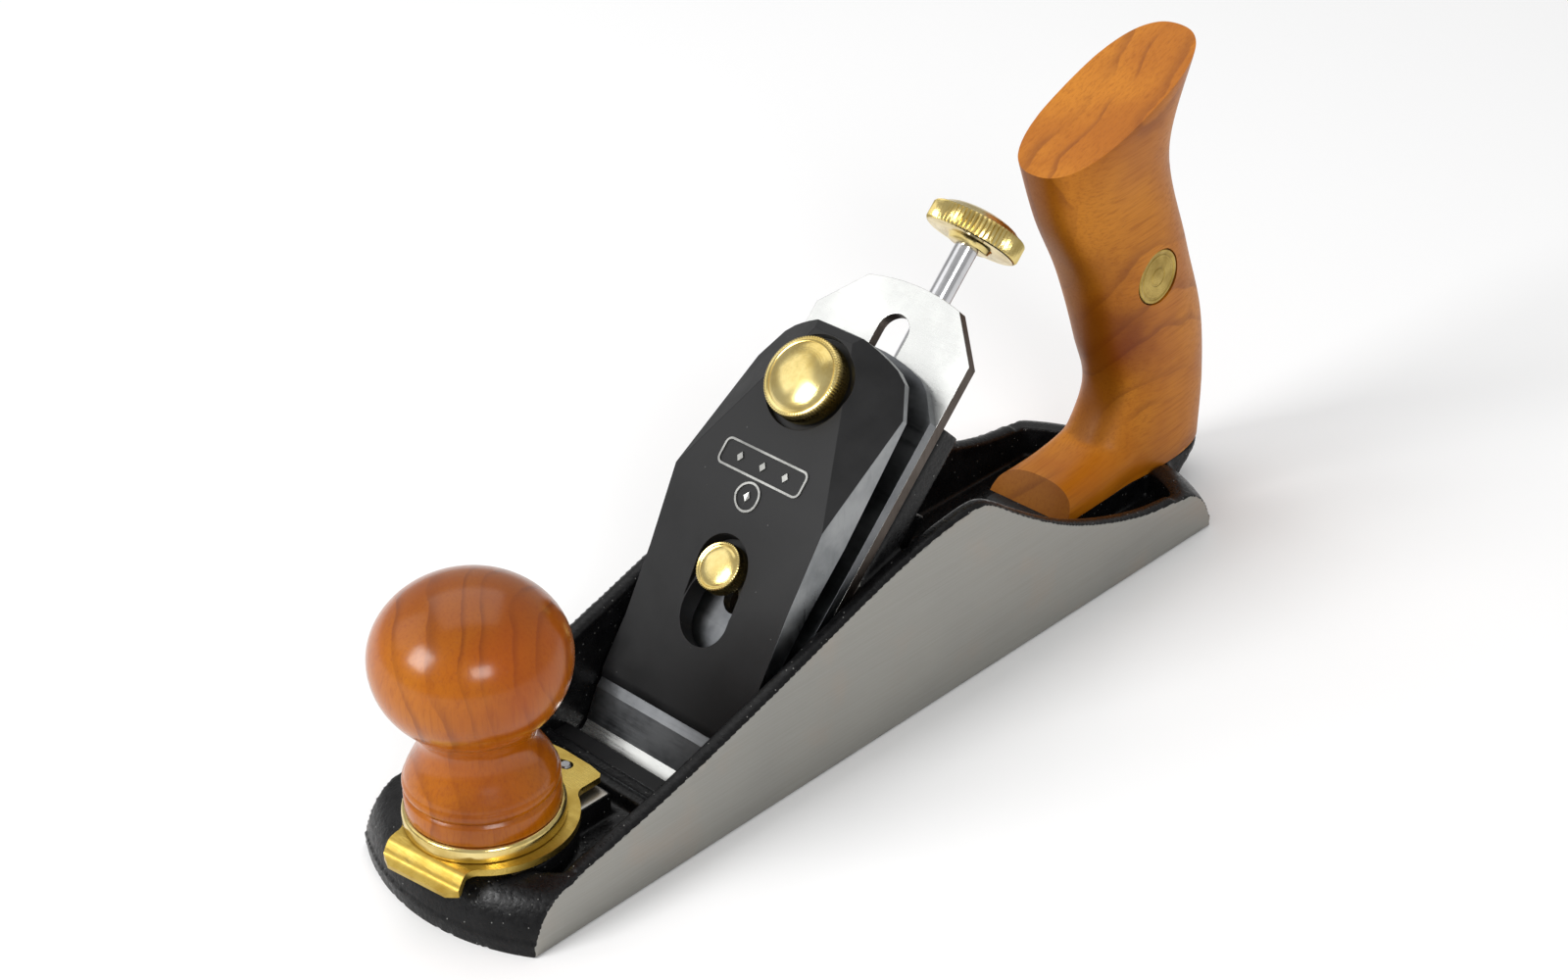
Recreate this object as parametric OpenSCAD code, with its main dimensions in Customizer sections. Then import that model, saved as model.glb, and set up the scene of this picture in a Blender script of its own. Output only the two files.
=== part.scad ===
// Bench hand plane with an iron body, a sliding toe plate and a screw-fed blade.
// +X points to the toe, +Y to the plane's left and +Z up. The sole is z = 0.
// x = 0 is midway along the sole and y = 0 is the middle of the blade.

/* [Body] */
// Length of the sole
body_len = 263.2; // [260:0.2:266]
// Width across the two ground sides
body_w = 60.6; // [60.2:0.1:61.4]
// Clear width between the side walls
inner_w = 52.2; // [52.0:0.1:52.4]
// Radius of the rounded toe and heel, in plan
end_r = 57; // [55:0.5:60]
// Thickness of the sliding toe plate
toe_plate_t = 5; // [4.5:0.1:5]
// Height of the floor in front of the mouth
front_floor = 8.5; // [8:0.1:9]
// Height of the floor behind the bed
rear_floor = 5.5; // [5:0.1:6]

/* [Blade] */
// Width of the blade
blade_w = 50.8; // [50.4:0.1:50.8]
// Thickness of the blade
blade_t = 3.2; // [3:0.1:3.2]
// Length of the blade up the bed
blade_len = 137; // [134:0.5:138]
// Thickness of the chipbreaker
breaker_t = 3; // [2.8:0.1:3]
// Where the cutting edge meets the sole, forward of the middle
edge_x = 60; // [60:0.5:61]
// Opening of the mouth at rest
mouth_gap = 2; // [1.9:0.1:2.2]

/* [Front knob] */
// Distance of the knob's axis forward of the middle
knob_x = 110.2; // [110:0.1:110.6]
// Largest radius of the knob's ball
ball_r = 23.1; // [22:0.1:24]
// Height of the middle of the ball
ball_z = 61.4; // [61:0.1:62.4]
// Radius of the lever's disc
lever_r = 20.4; // [20.2:0.1:20.6]

/* [Adjuster] */
// Depth of the rod's axis under the blade's top face
rod_depth = 10.5; // [10.4:0.1:10.6]
// Radius of the rod
rod_r = 3.1; // [3:0.05:3.1]
// Radius of the brass adjusting knob
adj_knob_r = 12.8; // [11:0.1:13.4]

/* [Lever cap] */
// Distance of the cap's lower edge from the cutting edge
cap_low = 15.7; // [15.5:0.1:16]
// Radius of the brass cap wheel
wheel_r = 10.6; // [10:0.1:10.8]
// Radius of the cap screw's head
screw_head_r = 6.4; // [6:0.1:6.5]

/* [Hidden] */
$fn = 96;

fit = 0.05;              // radial clearance of a running fit
bed_angle = 45;          // blade above the sole
end_cx = body_len / 2 - end_r;
rim_h = 14.5;            // height of the rounded toe and heel rims
rim_in = 10.5;           // how far the rims round inward
inner_end_r = end_r - rim_in - 2.2;
diag = sqrt(2);
frog_t = 7.7;            // thickness of the bed plate
frog_top = 108;          // upper end of the bed plate, up the bed
plate_front = 117.7;     // front end of the toe plate
toe_travel = 1.75;       // how far the toe plate slides back
boss_z = 14.6;           // machined top of the knob boss
lever_z = 16.15;         // underside of the lever
lever_t = 1.75;
collar_z = 17.95;
knob_z = 21.8;           // underside of the wooden knob
stud_r = 4;
pin_back = 24.6;         // guide pin behind the knob's axis
washer_r = 18.3;         // brass washer under the lever
lever_lead = 7.16;       // plate travel per radian of lever
pin_r = 1.5;
pivot_s = 96;            // adjuster pivot up the bed
pivot_r = 7;
carriage_s = 71.5;       // middle of the carriage up the bed
head_r = 6.5;            // chipbreaker screw's head
screw_s = 52.8;          // lever cap screw up the bed
wheel_s = 101.9;         // cap wheel up the bed
seat_h = 12;             // seat of the lever cap screw's head
tote_z = 12.3;           // underside of the tote
medal = [-118, 12.6, 72.5];
medal_r = 7.7;
bolt_foot = [-121, 0, 0];

// Catmull-Rom curve through a list of points, n steps between neighbours
function blend4(a, b, c, d, t) =
  0.5 * (2 * b + (c - a) * t + (2 * a - 5 * b + 4 * c - d) * t * t + (3 * b - a - 3 * c + d) * t * t * t);
function curve(p, n) = [
  for (i = [0 : len(p) - 2]) for (j = [0 : n - 1])
    blend4(p[max(i - 1, 0)], p[i], p[i + 1], p[min(i + 2, len(p) - 1)], j / n),
  p[len(p) - 1]
];
// Arc of n steps about [cx, cy]
function arc(cx, cy, r, a0, a1, n) = [
  for (i = [0 : n]) [cx + r * cos(a0 + (a1 - a0) * i / n), cy + r * sin(a0 + (a1 - a0) * i / n)]
];
function mirrored(p) = concat(p, [for (i = [len(p) - 1 : -1 : 0]) [p[i][0], -p[i][1]]]);

// Local axes: x up the bed from the cutting edge, y across, z out of the blade's top face
module on_bed() {
  translate([edge_x, 0, 0]) rotate([0, bed_angle, 0]) mirror([1, 0, 0]) children();
}
// Extrudes an x-z outline across the plane's width
module across(w) {
  rotate([90, 0, 0]) linear_extrude(height = w, center = true) children();
}
module round_slot(x0, x1, r, z0, z1) {
  translate([x0, 0, z0]) cylinder(r = r, h = z1 - z0);
  translate([x1, 0, z0]) cylinder(r = r, h = z1 - z0);
  translate([x0, -r, z0]) cube([x1 - x0, 2 * r, z1 - z0]);
}

// ---------------------------------------------------------------- body casting
wall_line = [[134, 14.9], [108, 15.1], [94, 18.1], [75, 22.9], [50, 30.4], [29, 37.2], [9, 43.7],
             [-5, 47.4], [-16, 49.3], [-26, 50], [-32, 47.8], [-41.6, 40.9], [-53.4, 33.1],
             [-65.4, 26.6], [-79.8, 20.8], [-94.4, 16.5], [-107, 14.6], [-134, 14.5]];

module rounded_end(cx) {
  translate([cx, 0, 0]) rotate_extrude() polygon(concat(
    [[0, 0]],
    [for (a = [0 : 10 : 90]) [end_r - rim_in * (1 - cos(a)), rim_h * sin(a)]],
    [[end_r - rim_in, 60], [0, 60]]));
}
module body_envelope() {
  intersection() {
    across(body_w) polygon(concat([[-134, 0], [134, 0]], curve(wall_line, 5)));
    union() {
      rounded_end(end_cx);
      rounded_end(-end_cx);
      translate([-end_cx, -40, 0]) cube([2 * end_cx, 80, 60]);
    }
  }
}
module inner_plan() {
  translate([end_cx, 0, 0]) cylinder(r = inner_end_r, h = 90);
  translate([-end_cx, 0, 0]) cylinder(r = inner_end_r, h = 90);
  translate([-end_cx, -40, 0]) cube([2 * end_cx, 80, 90]);
}
bed_face = edge_x - blade_t * diag;              // x + z on the bed face
bed_back = edge_x - (blade_t + frog_t) * diag;   // x + z on the back of the bed plate

module channel() {
  intersection() {
    across(inner_w) union() {
      polygon([[bed_face - front_floor, front_floor], [140, front_floor], [140, 85], [bed_face - 85, 85]]);
      polygon([[-140, rear_floor], [31, rear_floor], [31, bed_back - 31], [bed_back - 85, 85], [-140, 85]]);
    }
    inner_plan();
  }
}
module toe_pocket() {
  across(inner_w) polygon([[bed_face + 1, -1], [plate_front + 1.8, -1], [plate_front + 1.8, toe_plate_t + 0.1],
    [69.5, toe_plate_t + 0.1], [69.5, 12], [bed_face - 12, 12]]);
}
module bed_plate() {
  on_bed() {
    across(blade_w) polygon([[6, -blade_t], [frog_top - 1, -blade_t], [frog_top, -blade_t - 1],
      [frog_top, -blade_t - frog_t], [12, -blade_t - frog_t]]);
    translate([pivot_s, 0, -18]) cylinder(r = 11, h = 18 - blade_t);
    translate([screw_s, 0, -17]) cylinder(r = 8, h = 17 - blade_t);
  }
  for (side = [-1, 1]) translate([0, 18 * side, 0]) across(4)
    polygon(concat([[37, 4], [37, bed_back - 36.5], [-14, bed_back + 14.5], [-14, 50]],
                   arc(-54, 4, 56, 50, 0, 8)));
}
module tote_boss() {
  intersection() {
    across(25) polygon(concat(
      [[-74, 4], [-78, tote_z - 0.05], [-147.5, tote_z - 0.05], [-147, 10.6]],
      arc(-144, -4, 14.9, 101, 25, 8),
      [[-120, 2]]));
    linear_extrude(height = tote_z + 10) union() {
      translate([-135, 0]) circle(r = 12.5);
      translate([-135, -12.5]) square([65, 25]);
    }
  }
}
module body_casting() {
  color("#1b1b1c") difference() {
    union() {
      difference() {
        body_envelope();
        channel();
      }
      bed_plate();
      tote_boss();
      intersection() {
        body_envelope();
        union() {
          translate([knob_x, 0, front_floor - 1]) cylinder(r = 20.5, h = boss_z - front_floor + 1);
          translate([82.5, -12.5, front_floor - 1]) cube([16, 25, boss_z - front_floor + 1]);
          across(inner_w + 2) polygon([[73.5, 8], [74.8, 10.6], [76.3, 11.2], [78.5, 11.2], [80, 8]]);
        }
      }
    }
    toe_pocket();
    round_slot_at_knob();
    translate([-160, -14.3, tote_z - 0.05]) cube([86, 28.6, 10]);
    translate([knob_x - pin_back, 0, 8.9]) cylinder(r = pin_r + 0.02, h = 10);
    on_bed() bed_cuts();
    tote_bolt_bore();
  }
}
module round_slot_at_knob() {
  translate([knob_x, 0, 0]) round_slot(-2, 2, stud_r + 0.4, toe_plate_t, boss_z + 1);
  translate([knob_x, 0, 0]) round_slot(-2, 2, washer_r + 0.4, boss_z, boss_z + 4);
}
// Openings in the bed: pivot bore, rod slot, carriage slot and the cap screw's hole
module bed_cuts() {
  translate([pivot_s, 0, -18.1]) cylinder(r = pivot_r + fit, h = 16);
  translate([84, -5.3, -19]) cube([30, 10.6, 13.4]);
  translate([62, -9, -25]) cube([22, 18, 25]);
  translate([screw_s, 0, -18]) cylinder(r = 3.5, h = 18);
}

// ---------------------------------------------------------------- toe plate, lever and knob
module toe_plate() {
  color("#a9abac") difference() {
    across(inner_w - 0.2) polygon([[edge_x + mouth_gap, 0], [plate_front, 0], [plate_front, toe_plate_t],
      [edge_x + mouth_gap + 0.6, toe_plate_t], [edge_x + mouth_gap, 3.6]]);
    translate([knob_x, 0, 1.5]) cylinder(r = stud_r + 0.03, h = 10);
  }
}
module toe_stud() {
  color("#b5b7ba") translate([knob_x, 0, 1.6]) {
    cylinder(r = stud_r, h = 39.6);
    translate([0, 0, 39.6]) cylinder(r1 = stud_r, r2 = stud_r - 0.8, h = 0.8);
  }
}
module lever_guide_pin() {
  color("#9a9c9e") translate([knob_x - pin_back, 0, 9]) {
    cylinder(r = pin_r, h = 8.8);
    translate([0, 0, 8.8]) cylinder(r1 = pin_r, r2 = pin_r - 0.4, h = 0.4);
  }
}
// The lever's plan: a disc that is off the knob's axis, a wide tab set a little to the left, and a tongue
disc_shift = [-0.7, 1.5];
tab_swing = 7;
tab_half = 11.6;
tongue_half = 9.5;
module lever_plan() {
  offset(r = -3.5) offset(delta = 3.5) union() {
    translate(disc_shift) circle(r = lever_r);
    rotate([0, 0, tab_swing]) polygon([[0, tab_half], [21.8, tab_half], [24, tab_half - 3.6],
      [24, 3.6 - tab_half], [21.8, -tab_half], [0, -tab_half]]);
    polygon(mirrored([[0, tongue_half], [-26.9, tongue_half], [-27.9, tongue_half - 0.9], [-28.5, 4.5]]));
  }
}
// The guide slot's radius grows with the lever's angle, so the lever drives the plate
slot_half = pin_r + 0.08;
slot_from = -15;
slot_to = 1;
function slot_r(a) = pin_back + lever_lead * a * PI / 180;
function slot_at(a) = [-slot_r(a) * cos(a), slot_r(a) * sin(a)];
function slot_way(a) = atan2(lever_lead * sin(a) + slot_r(a) * cos(a), slot_r(a) * sin(a) - lever_lead * cos(a));
function slot_side(a, turn) = slot_at(a) + slot_half * [cos(slot_way(a) + turn), sin(slot_way(a) + turn)];
slot_step = (slot_to - slot_from) / 12;
guide_slot = concat(
  [for (i = [0 : 12]) slot_side(slot_from + i * slot_step, -90)],
  [for (i = [1 : 7]) slot_side(slot_to, -90 + i * 22.5)],
  [for (i = [0 : 12]) slot_side(slot_to - i * slot_step, 90)],
  [for (i = [1 : 7]) slot_side(slot_from, 90 + i * 22.5)]);
module mouth_lever() {
  color("#c8a64b") translate([knob_x, 0, 0]) difference() {
    intersection() {
      linear_extrude(height = 30) lever_plan();
      rotate([0, 0, tab_swing]) union() {
        translate([-40, -40, lever_z]) cube([57.6, 80, lever_t]);
        across(60) polygon(concat(
          curve([[17.5, lever_z + lever_t], [19.6, 17.5], [21, 16], [21.9, 14.7], [23.7, 13.9]], 4),
          curve([[23.5, 12.7], [21.4, 13], [20.4, 14.4], [19.6, 15.75], [18.7, lever_z]], 4), [[17.5, lever_z]]));
      }
    }
    translate([0, 0, lever_z - 1]) cylinder(r = stud_r + fit, h = 5);
    translate([0, 0, lever_z - 1]) linear_extrude(height = 5) polygon(guide_slot);
  }
}
module lever_washer() {
  color("#b8953f") translate([knob_x, 0, boss_z + 0.05]) difference() {
    cylinder(r = washer_r, h = 1.45);
    translate([0, 0, -1]) cylinder(r = stud_r + fit, h = 4);
  }
}
module knob_collar() {
  color("#cfae55") translate([knob_x, 0, 0]) rotate_extrude() polygon([[stud_r + 0.1, collar_z],
    [18.6, collar_z], [19, collar_z + 0.4], [19, knob_z - 0.7], [18.4, knob_z - 0.05],
    [stud_r + 0.1, knob_z - 0.05]]);
}
knob_profile = concat(
  [[0, knob_z], [17.8, knob_z], [18.2, knob_z + 0.4], [18.2, 26.6], [17.4, 27.4]],
  arc(16.3, 29.2, 1.9, -60, 50, 8),
  curve([[16.2, 31.5], [14.4, 33.6], [12.7, 36.4], [12.1, 39.6], [12.4, 42.8]], 4),
  [for (a = [-54 : 6 : 90]) [ball_r * cos(a), ball_z + (a < 0 ? 20.5 : 18.9) * sin(a)]]);
module front_knob() {
  color("#b4692c") translate([knob_x, 0, 0]) difference() {
    rotate_extrude() polygon(knob_profile);
    translate([0, 0, knob_z - 1]) cylinder(r = 7.05, h = 23.5);
  }
}
module knob_insert() {
  color("#c8a64b") translate([knob_x, 0, knob_z + 0.05]) difference() {
    cylinder(r = 7, h = 22);
    translate([0, 0, -1]) cylinder(r = stud_r + fit, h = 22);
  }
}

// ---------------------------------------------------------------- blade set
blade_half = concat([[0.2, -blade_w / 2], [123.7, -blade_w / 2], [135.1, -15]],
                    arc(blade_len - 60, 0, 60, -12, 0, 3));
module blade() {
  bevel = blade_t / tan(25);
  color("#dfe1e3") on_bed() difference() {
    translate([0, 0, -blade_t]) linear_extrude(height = blade_t) polygon(mirrored(blade_half));
    translate([0.2, 0, 0]) across(60) polygon([[0, 0], [bevel, -blade_t], [bevel, -blade_t - 1], [-1, -blade_t - 1],
      [-1, 0]]);
    round_slot(43, 128.8 - 4.75, 4.75, -blade_t - 1, 1);
  }
}
breaker_half = concat([[4.7, -25.4], [107, -25.4], [113.5, -20]], arc(118.5 - 50, 0, 50, -20, 0, 5));
module chipbreaker() {
  color("#8d9093") on_bed() difference() {
    linear_extrude(height = breaker_t) polygon(mirrored(breaker_half));
    across(60) polygon([[4, 0.25], [4.7, 0.25], [12.9, breaker_t], [12.9, 10], [4, 10]]);
    round_slot(48.4, 54.6, 4, -1, 10);
    translate([carriage_s, 0, -1]) cylinder(r = 4.03, h = 10);
  }
}
module chipbreaker_screw() {
  color("#77797c") on_bed() translate([carriage_s, 0, 0]) {
    translate([0, 0, -blade_t - 2.95]) cylinder(r = head_r, h = 2.95);
    translate([0, 0, -blade_t - 0.01]) cylinder(r = 4, h = blade_t + breaker_t - 0.1);
  }
}

// ---------------------------------------------------------------- lever cap
cap_plan = concat([[cap_low, -24.6], [32, -23.3], [50, -23.5], [70.4, -24.7], [103.7, -24.2], [111.8, -20]],
                  arc(117.6 - 42, 0, 42, -24, 0, 6));
module wing_cut() {
  // Lowers the cap's upper corner: the flat passes through the kink and the crease's upper end
  translate([70.4, 24.7, 18.9]) rotate([0, 33.1, 68.9]) translate([-100, -100, 0]) cube([200, 200, 50]);
}
module lever_cap() {
  color("#202124") on_bed() difference() {
    intersection() {
      linear_extrude(height = 30) polygon(mirrored(cap_plan));
      across(60) polygon([[cap_low, breaker_t + 0.03], [cap_low, 4.4], [18, 5.9], [70.4, 18.9], [114.6, 19.8],
        [116.8, 18.6], [118, 12], [112, 10], [70, 7.9], [22, 4.1]]);
    }
    wing_cut();
    mirror([0, 1, 0]) wing_cut();
    translate([wheel_s, 0, 17.2]) cylinder(r = 12.2, h = 10);
    translate([wheel_s, 0, 0]) cylinder(r = 3, h = 30);
    round_slot(41, 53, 8, seat_h, 30);
    round_slot(45, 53, 3.9, 0, 30);
    round_slot(41, 45, 7.6, 0, 30);
    translate([63, -15, 0]) cube([29, 30, 14.4]);
  }
}
module cap_wheel() {
  color("#d4b458") on_bed() translate([wheel_s, 0, 0]) difference() {
    rotate_extrude() polygon(concat(
      [[0, 17.6], [wheel_r - 0.5, 17.6], [wheel_r, 18.1], [wheel_r, 23.2], [wheel_r - 0.5, 23.7]],
      [for (a = [60 : 10 : 90]) [2 * (wheel_r - 0.7) * cos(a), 23.7 + 1.5 * (sin(a) - sin(60)) / (1 - sin(60))]]));
    translate([0, 0, 17]) cylinder(r = 3, h = 4.6);
  }
}
module cap_wheel_stud() {
  color("#a4a6a8") on_bed() translate([wheel_s, 0, 0]) {
    translate([0, 0, 5.1]) cylinder(r = 2.95, h = 16.4);
    translate([0, 0, 3.6]) cylinder(r = 1.5, h = 2);
  }
}
module cap_wheel_foot() {
  color("#8b8d90") on_bed() translate([wheel_s, 0, breaker_t + 0.03]) difference() {
    cylinder(r = 4.6, h = 2);
    translate([0, 0, 0.5]) cylinder(r = 1.5 + fit, h = 3);
  }
}
module lever_cap_screw() {
  color("#d4b458") on_bed() translate([screw_s, 0, 0]) {
    rotate_extrude() polygon(concat(
      [[0, seat_h + 0.05], [screw_head_r, seat_h + 0.05], [screw_head_r, 16], [screw_head_r - 0.5, 16.4],
       [screw_head_r - 1, 16.1]],
      [for (a = [30 : 15 : 90]) [5.6 * cos(a), 15.5 + 1.1 * sin(a)]]));
    translate([0, 0, -16.5]) cylinder(r = 3.4, h = 16.5 + seat_h + 1);
  }
}

// ---------------------------------------------------------------- depth and lateral adjuster
module adjuster_pivot() {
  color("#8f9194") on_bed() difference() {
    translate([pivot_s, 0, -17.4]) cylinder(r = pivot_r, h = 13.6);
    translate([pivot_s - 10, 0, -rod_depth]) rotate([0, 90, 0]) cylinder(r = rod_r + fit, h = 20);
  }
}
module adjuster_rod() {
  color("#c9cbcd") on_bed() translate([0, 0, -rod_depth]) rotate([0, 90, 0]) {
    translate([0, 0, 62.5]) cylinder(r = rod_r, h = 95);
    translate([0, 0, pivot_s + pivot_r + 0.15]) cylinder(r = 4.6, h = 2);
  }
}
module adjuster_retaining_ring() {
  color("#6f7174") on_bed() translate([pivot_s - pivot_r - 1.6, 0, -rod_depth]) rotate([0, 90, 0]) difference() {
    cylinder(r = 4.6, h = 1.4);
    translate([0, 0, -1]) cylinder(r = rod_r + 0.02, h = 4);
  }
}
module adjuster_knob() {
  color("#cfae55") on_bed() translate([0, 0, -rod_depth]) rotate([0, 90, 0]) difference() {
    rotate_extrude() polygon(concat(
      [[0, 152.5], [5.6, 152.5], [6.2, 154], [adj_knob_r - 0.6, 154], [adj_knob_r, 154.6],
       [adj_knob_r, 159], [adj_knob_r - 0.6, 159.5]],
      [for (a = [60 : 10 : 90]) [2 * (adj_knob_r - 1) * cos(a), 159.5 + 2.8 * (sin(a) - sin(60)) / (1 - sin(60))]]));
    translate([0, 0, 150]) cylinder(r = rod_r + 0.03, h = 8);
  }
}
module adjuster_carriage() {
  color("#b89a48") on_bed() difference() {
    translate([carriage_s - 7.4, -8.3, -15.5]) cube([14.8, 16.6, 12]);
    translate([carriage_s, 0, -blade_t - 3.05]) cylinder(r = head_r + fit, h = 10);
    translate([carriage_s - 10, 0, -rod_depth]) rotate([0, 90, 0]) cylinder(r = rod_r + fit, h = 20);
  }
}

// ---------------------------------------------------------------- tote
// Rear line, front line and half thickness of the grip, from the base up to the flat top
tote_rear = [[-149, tote_z], [-149.6, 30], [-147, 52], [-138, 76], [-129.4, 107], [-138, 134.4]];
tote_front = [[-95, tote_z], [-109.4, 34], [-105, 52], [-97.5, 74], [-86.8, 93.4], [-80.4, 111.2]];
tote_half = [[13.2, 0], [12, 0], [12.2, 0], [13, 0], [12, 0], [14, 0]];
tote_steps = 5;
ring_n = 24;
function squircle(a, p) = sign(a) * pow(abs(a), p);
function grip_ring(b, f, w) = [
  for (k = [0 : ring_n - 1]) let (a = 360 * k / ring_n, u = squircle(cos(a), 0.8), v = squircle(sin(a), 0.8))
    [(b[0] + f[0]) / 2 + (f[0] - b[0]) / 2 * u, w * v, (b[1] + f[1]) / 2 + (f[1] - b[1]) / 2 * u]
];
module rings(r) {
  m = len(r) - 1;
  n = len(r[0]);
  polyhedron(
    points = [for (a = r) for (p = a) p],
    faces = concat(
      [[for (k = [0 : n - 1]) k]],
      [[for (k = [n - 1 : -1 : 0]) m * n + k]],
      [for (i = [0 : m - 1]) for (k = [0 : n - 1]) [i * n + k, (i + 1) * n + k, (i + 1) * n + (k + 1) % n]],
      [for (i = [0 : m - 1]) for (k = [0 : n - 1]) [i * n + k, (i + 1) * n + (k + 1) % n, i * n + (k + 1) % n]]));
}
module tote_grip() {
  b = curve(tote_rear, tote_steps);
  f = curve(tote_front, tote_steps);
  w = curve(tote_half, tote_steps);
  rings([for (i = [0 : len(b) - 1]) grip_ring(b[i], f[i], w[i][0])]);
}
// The foot runs forward from the grip as a low arch, and a slanted cut ends it
foot_stations = [[-120, 30, 12.2], [-108, 24.4, 12.6], [-98, 21.2, 13], [-90, 20, 13.3], [-83, 19.4, 13.5],
                 [-78, 19, 13.5]];
module tote_foot() {
  s = curve(foot_stations, 4);
  rings([for (p = s) [for (k = [0 : 16]) let (a = 180 * k / 16)
    [p[0], p[2] * squircle(cos(a), 0.75), tote_z + (p[1] - tote_z) * squircle(sin(a), 0.75)]]]);
}
bolt_dir = [medal[0] - bolt_foot[0], medal[2]];
bolt_tilt = atan2(bolt_dir[0], bolt_dir[1]);
bolt_len = norm(bolt_dir);
// Local axes: z up the tote bolt from the sole
module along_bolt() {
  translate(bolt_foot) rotate([0, bolt_tilt, 0]) children();
}
module tote_bolt_bore() {
  along_bolt() {
    translate([0, 0, -6]) cylinder(r = 3.3, h = bolt_len);
    translate([0, 0, -6]) cylinder(r = 6.5, h = 13);
  }
}
module tote() {
  color("#b97334") difference() {
    union() {
      tote_grip();
      tote_foot();
    }
    along_bolt() translate([0, 0, -6]) cylinder(r = 3.4, h = bolt_len + 14);
    across(40) polygon([[-81.2, tote_z - 0.1], [-70, tote_z - 0.1], [-70, 32], [-95.9, 32]]);
    translate([medal[0], 0, medal[2]]) rotate([-90, 0, 0]) cylinder(r = 5.05, h = 20);
    translate([medal[0], -9, medal[2]]) rotate([-90, 0, 0]) cylinder(r = 5.05, h = 20);
    translate([medal[0], medal[1] - 1.8, medal[2]]) rotate([-90, 0, 0]) cylinder(r = medal_r + 0.05, h = 20);
  }
}
module tote_bolt() {
  color("#6f7174") along_bolt() {
    translate([0, 0, 2.2]) cylinder(r = 5.4, h = 3.6);
    translate([0, 0, 5]) cylinder(r = 3.1, h = bolt_len + 3);
  }
}
module tote_bolt_washer() {
  color("#9a9c9e") along_bolt() translate([0, 0, 5.85]) difference() {
    cylinder(r = 6.2, h = 1.1);
    translate([0, 0, -1]) cylinder(r = 3.2, h = 4);
  }
}
module tote_barrel_nut() {
  color("#c8a64b") difference() {
    translate([medal[0], -8.9, medal[2]]) rotate([-90, 0, 0]) cylinder(r = 5, h = 18);
    along_bolt() cylinder(r = 3.15, h = bolt_len + 14);
  }
}
module medallion() {
  color("#cdb057") translate([medal[0], medal[1] - 1.75, medal[2]]) rotate([-90, 0, 0]) {
    cylinder(r = medal_r, h = 1.5);
    translate([0, 0, 1.5]) cylinder(r1 = medal_r, r2 = medal_r - 0.35, h = 0.35);
  }
}

body_casting();
toe_plate();
toe_stud();
lever_guide_pin();
mouth_lever();
lever_washer();
knob_collar();
front_knob();
knob_insert();
blade();
chipbreaker();
chipbreaker_screw();
lever_cap();
cap_wheel();
cap_wheel_stud();
cap_wheel_foot();
lever_cap_screw();
adjuster_pivot();
adjuster_rod();
adjuster_knob();
adjuster_retaining_ring();
adjuster_carriage();
tote();
tote_bolt();
tote_barrel_nut();
tote_bolt_washer();
medallion();
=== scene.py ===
"""Looks for a bench hand plane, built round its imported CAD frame. Metres; helpers take millimetres."""
import math

import bmesh
import bpy
from mathutils import Matrix, Vector


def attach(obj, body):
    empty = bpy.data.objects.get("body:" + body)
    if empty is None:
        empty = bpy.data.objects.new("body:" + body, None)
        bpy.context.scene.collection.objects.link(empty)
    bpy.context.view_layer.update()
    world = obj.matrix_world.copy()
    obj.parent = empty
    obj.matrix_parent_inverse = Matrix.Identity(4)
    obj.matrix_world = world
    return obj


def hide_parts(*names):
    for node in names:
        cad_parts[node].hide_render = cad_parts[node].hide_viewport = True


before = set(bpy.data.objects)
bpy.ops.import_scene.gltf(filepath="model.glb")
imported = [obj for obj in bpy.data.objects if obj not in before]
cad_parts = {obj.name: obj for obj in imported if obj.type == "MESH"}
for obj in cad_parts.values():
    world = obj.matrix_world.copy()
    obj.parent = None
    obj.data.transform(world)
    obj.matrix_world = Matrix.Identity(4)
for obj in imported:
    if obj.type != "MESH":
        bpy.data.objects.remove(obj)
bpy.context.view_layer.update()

MM = 0.001
C = math.sqrt(0.5)  # the bed slopes at 45 degrees
EDGE_X = 60.0  # where the cutting edge meets the sole
TAU = 2 * math.pi
BED_NORMAL = Vector((C, 0, C))
BED_DEPTH = 3.2  # blade top face down to the bed
SIDE_Y = 30.3
KNOB_X = 110.2
BOSS_R, BOSS_TOP = 20.3, 14.5


# ------------------------------------------------------------------ geometry helpers
def bed(s, y, h):
    """A point s up the bed, y across and h out of the blade's top face."""
    return Vector((EDGE_X - (s - h) * C, y, (s + h) * C))


def basis(x, y, z, at):
    m = Matrix((x, y, z)).transposed().to_4x4()
    m.translation = Vector(at) * MM
    return m


def out_of_bed(s, h=0.0):
    """Local z points out of the bed, at s."""
    return basis((-C, 0, C), (0, -1, 0), (C, 0, C), bed(s, 0, h))


def up_bed(h):
    """Local z points up the bed, at height h from the blade's top face."""
    return basis((-C, 0, -C), (0, -1, 0), (-C, 0, C), bed(0, 0, h))


def catmull(points, n):
    """A smooth curve through the points, n steps between neighbours."""
    out = []
    last = len(points) - 1
    for i in range(last):
        a, b = points[max(i - 1, 0)], points[i]
        c, d = points[i + 1], points[min(i + 2, last)]
        for j in range(n):
            t = j / n
            out.append(tuple(
                0.5 * (2 * q + (r - p) * t + (2 * p - 5 * q + 4 * r - w) * t * t
                       + (3 * q - p - 3 * r + w) * t ** 3)
                for p, q, r, w in zip(a, b, c, d)))
    out.append(tuple(points[-1]))
    return out


def arc(cx, cz, r, a0, a1, n):
    """n + 1 points on a circle's arc, from angle a0 to a1 in degrees."""
    return [(cx + r * math.cos(math.radians(a0 + (a1 - a0) * i / n)),
             cz + r * math.sin(math.radians(a0 + (a1 - a0) * i / n))) for i in range(n + 1)]


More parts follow.
